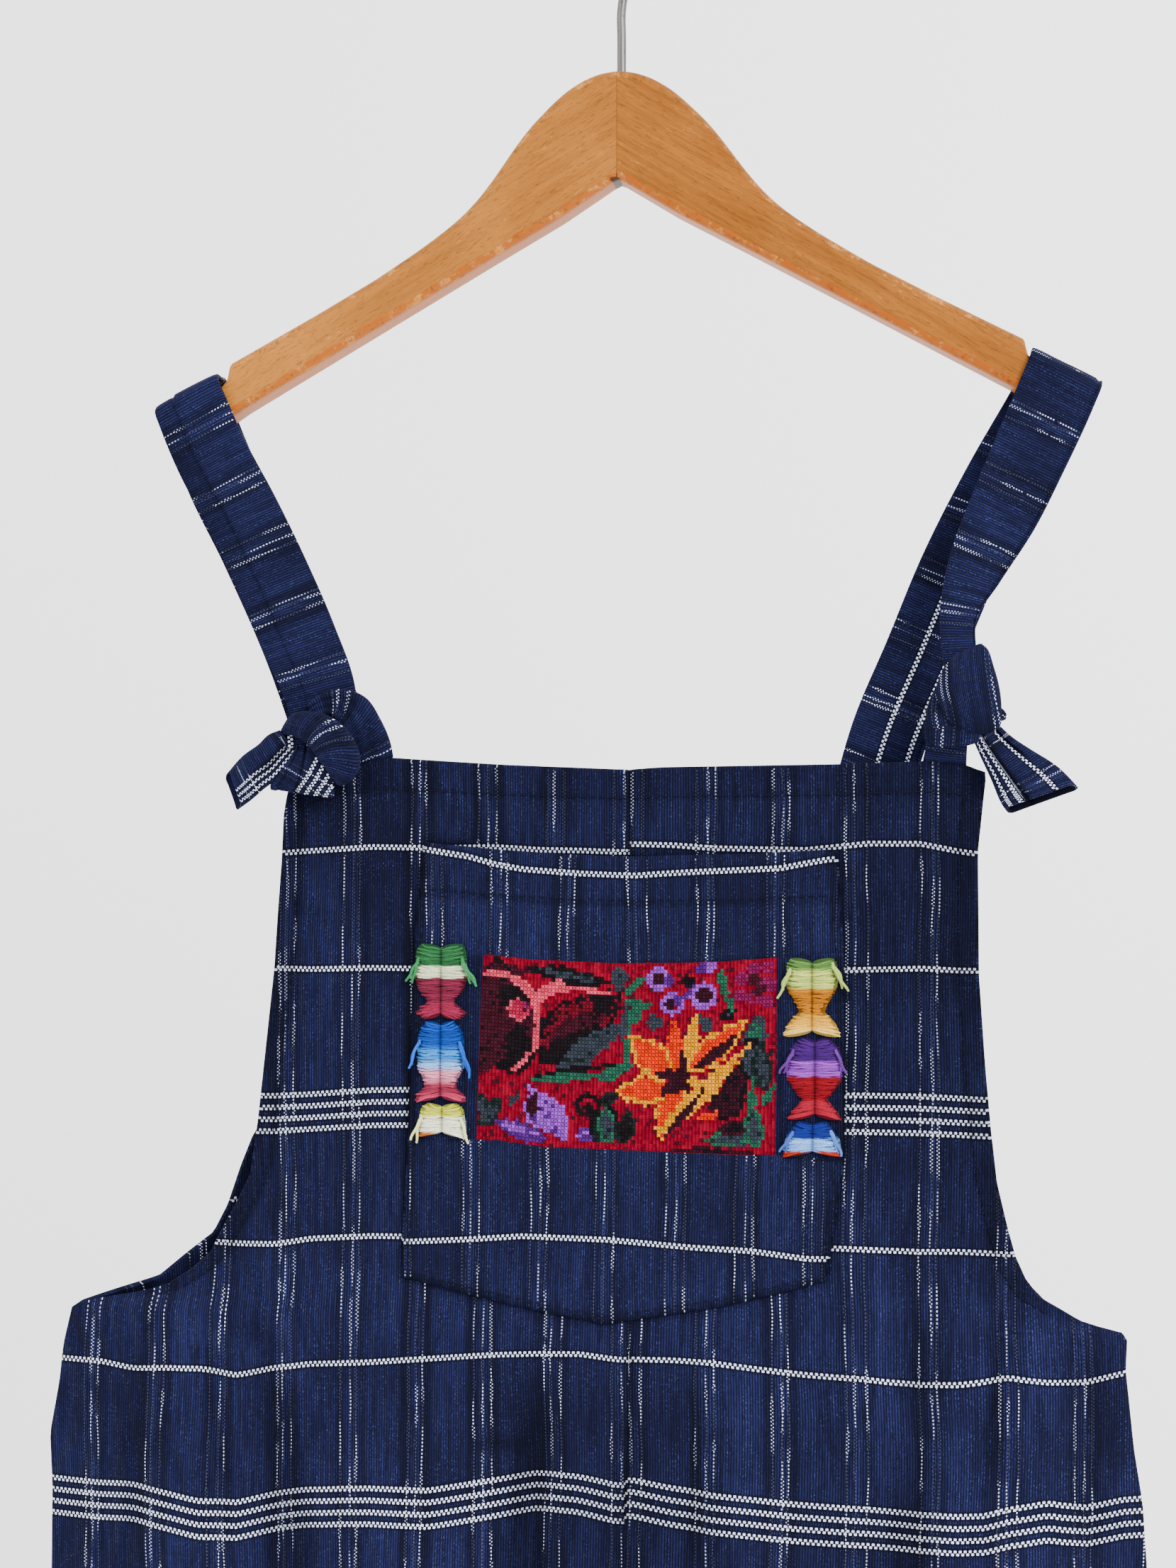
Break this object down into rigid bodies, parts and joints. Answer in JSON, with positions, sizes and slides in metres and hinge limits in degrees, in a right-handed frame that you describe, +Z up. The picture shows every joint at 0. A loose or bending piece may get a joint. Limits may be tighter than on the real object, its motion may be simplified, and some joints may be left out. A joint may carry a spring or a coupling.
{
  "type": "overalls on a hanger",
  "caption": "Child's bib overalls in indigo woven cotton with a patch pocket, hung by knotted straps over the ends of a wooden hanger with a wire hook.",
  "frame": {"origin": "inside top of the hanger's hook, where it hangs on a rod", "axes": "+Z up, +X to the right as the front is looked at, +Y from the front to the back"},
  "size_m": [0.37, 0.0509, 1.1094],
  "materials": {
    "indigo_cloth": "plain-woven ribbed cotton with scattered white resist-dyed threads",
    "indigo_cloth_back": "plain-woven ribbed cotton, shaded side",
    "embroidered_patch": "cross-stitched flowers on a red ground",
    "beech": "varnished, worn at its edges",
    "hook_wire": "dull wire",
    "thread_left_1": "thick embroidery thread",
    "thread_left_2": "thick embroidery thread",
    "thread_left_3": "thick embroidery thread",
    "thread_right_1": "thick embroidery thread",
    "thread_right_2": "thick embroidery thread",
    "thread_right_3": "thick embroidery thread"
  },
  "bodies": {
    "root": {"hanger": "beech", "hook": "hook_wire", "front_left": "indigo_cloth", "front_right": "indigo_cloth", "back_left": "indigo_cloth_back", "back_right": "indigo_cloth_back", "pocket_upper": "indigo_cloth", "pocket_patch": "embroidered_patch", "pocket_ground_left": "indigo_cloth", "pocket_ground_right": "indigo_cloth", "pocket_lower": "indigo_cloth", "randa_left_1": "thread_left_1", "tuft_left_1_inner": "thread_left_1", "tuft_left_1_outer": "thread_left_1", "randa_left_2": "thread_left_2", "tuft_left_2_inner": "thread_left_2", "tuft_left_2_outer": "thread_left_2", "randa_left_3": "thread_left_3", "tuft_left_3_inner": "thread_left_3", "tuft_left_3_outer": "thread_left_3", "strap_left_front": "indigo_cloth", "strap_left_back": "indigo_cloth_back", "tab_left": "indigo_cloth_back", "knot_left": "indigo_cloth", "tail_left": "indigo_cloth", "randa_right_1": "thread_right_1", "tuft_right_1_inner": "thread_right_1", "tuft_right_1_outer": "thread_right_1", "randa_right_2": "thread_right_2", "tuft_right_2_inner": "thread_right_2", "tuft_right_2_outer": "thread_right_2", "randa_right_3": "thread_right_3", "tuft_right_3_inner": "thread_right_3", "tuft_right_3_outer": "thread_right_3", "strap_right_front": "indigo_cloth", "strap_right_back": "indigo_cloth_back", "tab_right": "indigo_cloth_back", "knot_right": "indigo_cloth", "tail_right": "indigo_cloth"}
  },
  "joints": []
}
